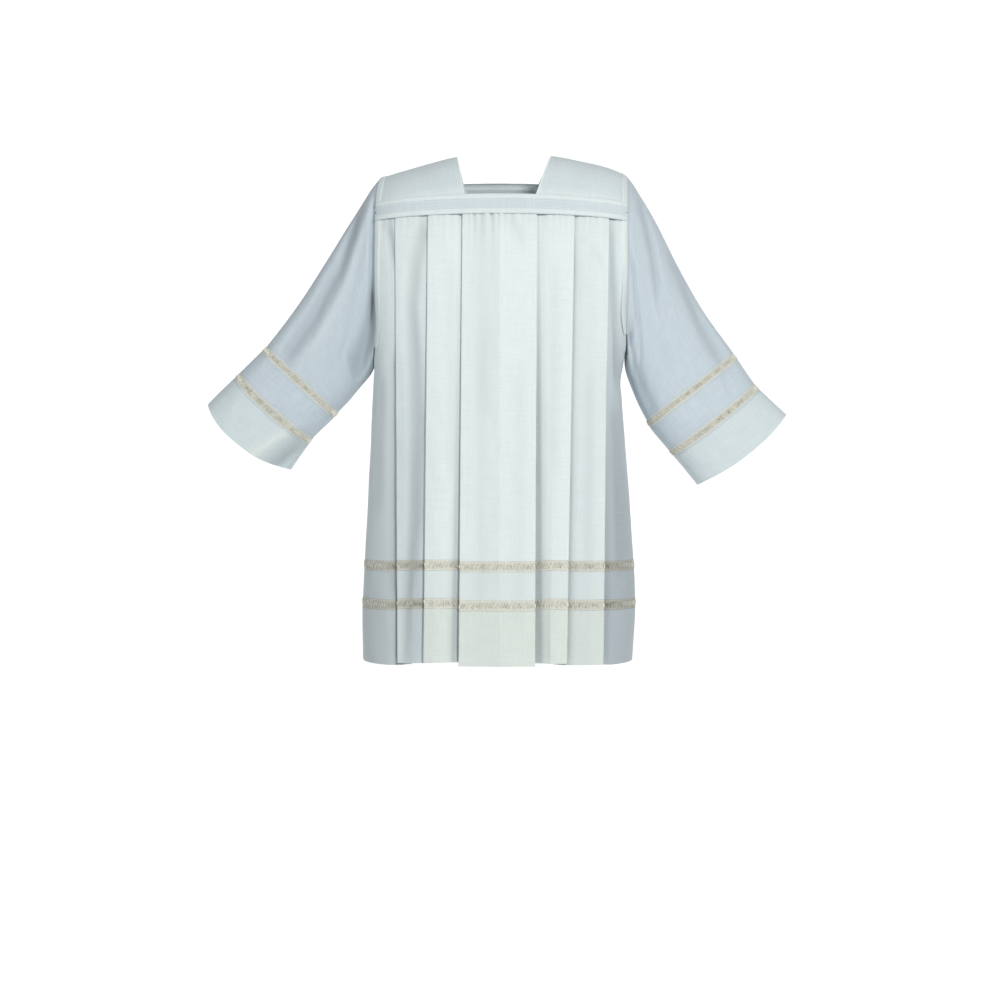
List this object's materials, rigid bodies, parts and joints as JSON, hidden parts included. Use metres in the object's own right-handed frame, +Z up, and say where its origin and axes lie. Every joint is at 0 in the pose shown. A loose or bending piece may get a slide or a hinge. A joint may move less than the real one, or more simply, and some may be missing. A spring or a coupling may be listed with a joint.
{
  "type": "cotta",
  "caption": "Worn white cotta with a square yoke, pleated body, wide sleeves and openwork insertions above doubled hems.",
  "frame": {"origin": "midway between the two shoulder-neck points, where the yoke hangs on the wearer's shoulders", "axes": "+X to the wearer's left, -Y out of the front, +Z up"},
  "size_m": [1.1293, 0.3024, 0.9803],
  "materials": {
    "cloth": "light white slub-weave cloth, single layer",
    "yoke_cloth": "the same cloth over a facing",
    "doubled_cloth": "the same cloth doubled in a deep hem",
    "insertion": "gold and ivory thread openwork insertion"
  },
  "bodies": {
    "root": {"front_panel": "cloth", "front_insertion_upper": "insertion", "front_strip": "cloth", "front_insertion_lower": "insertion", "front_hem": "doubled_cloth", "back_panel": "cloth", "back_insertion_upper": "insertion", "back_strip": "cloth", "back_insertion_lower": "insertion", "back_hem": "doubled_cloth", "yoke_band_front": "yoke_cloth", "yoke_band_back": "yoke_cloth", "yoke_shoulder_left": "yoke_cloth", "yoke_shoulder_right": "yoke_cloth", "sleeve_left": "cloth", "sleeve_left_insertion_upper": "insertion", "sleeve_left_strip": "cloth", "sleeve_left_insertion_lower": "insertion", "sleeve_left_cuff": "doubled_cloth", "sleeve_right": "cloth", "sleeve_right_insertion_upper": "insertion", "sleeve_right_strip": "cloth", "sleeve_right_insertion_lower": "insertion", "sleeve_right_cuff": "doubled_cloth"}
  },
  "joints": []
}
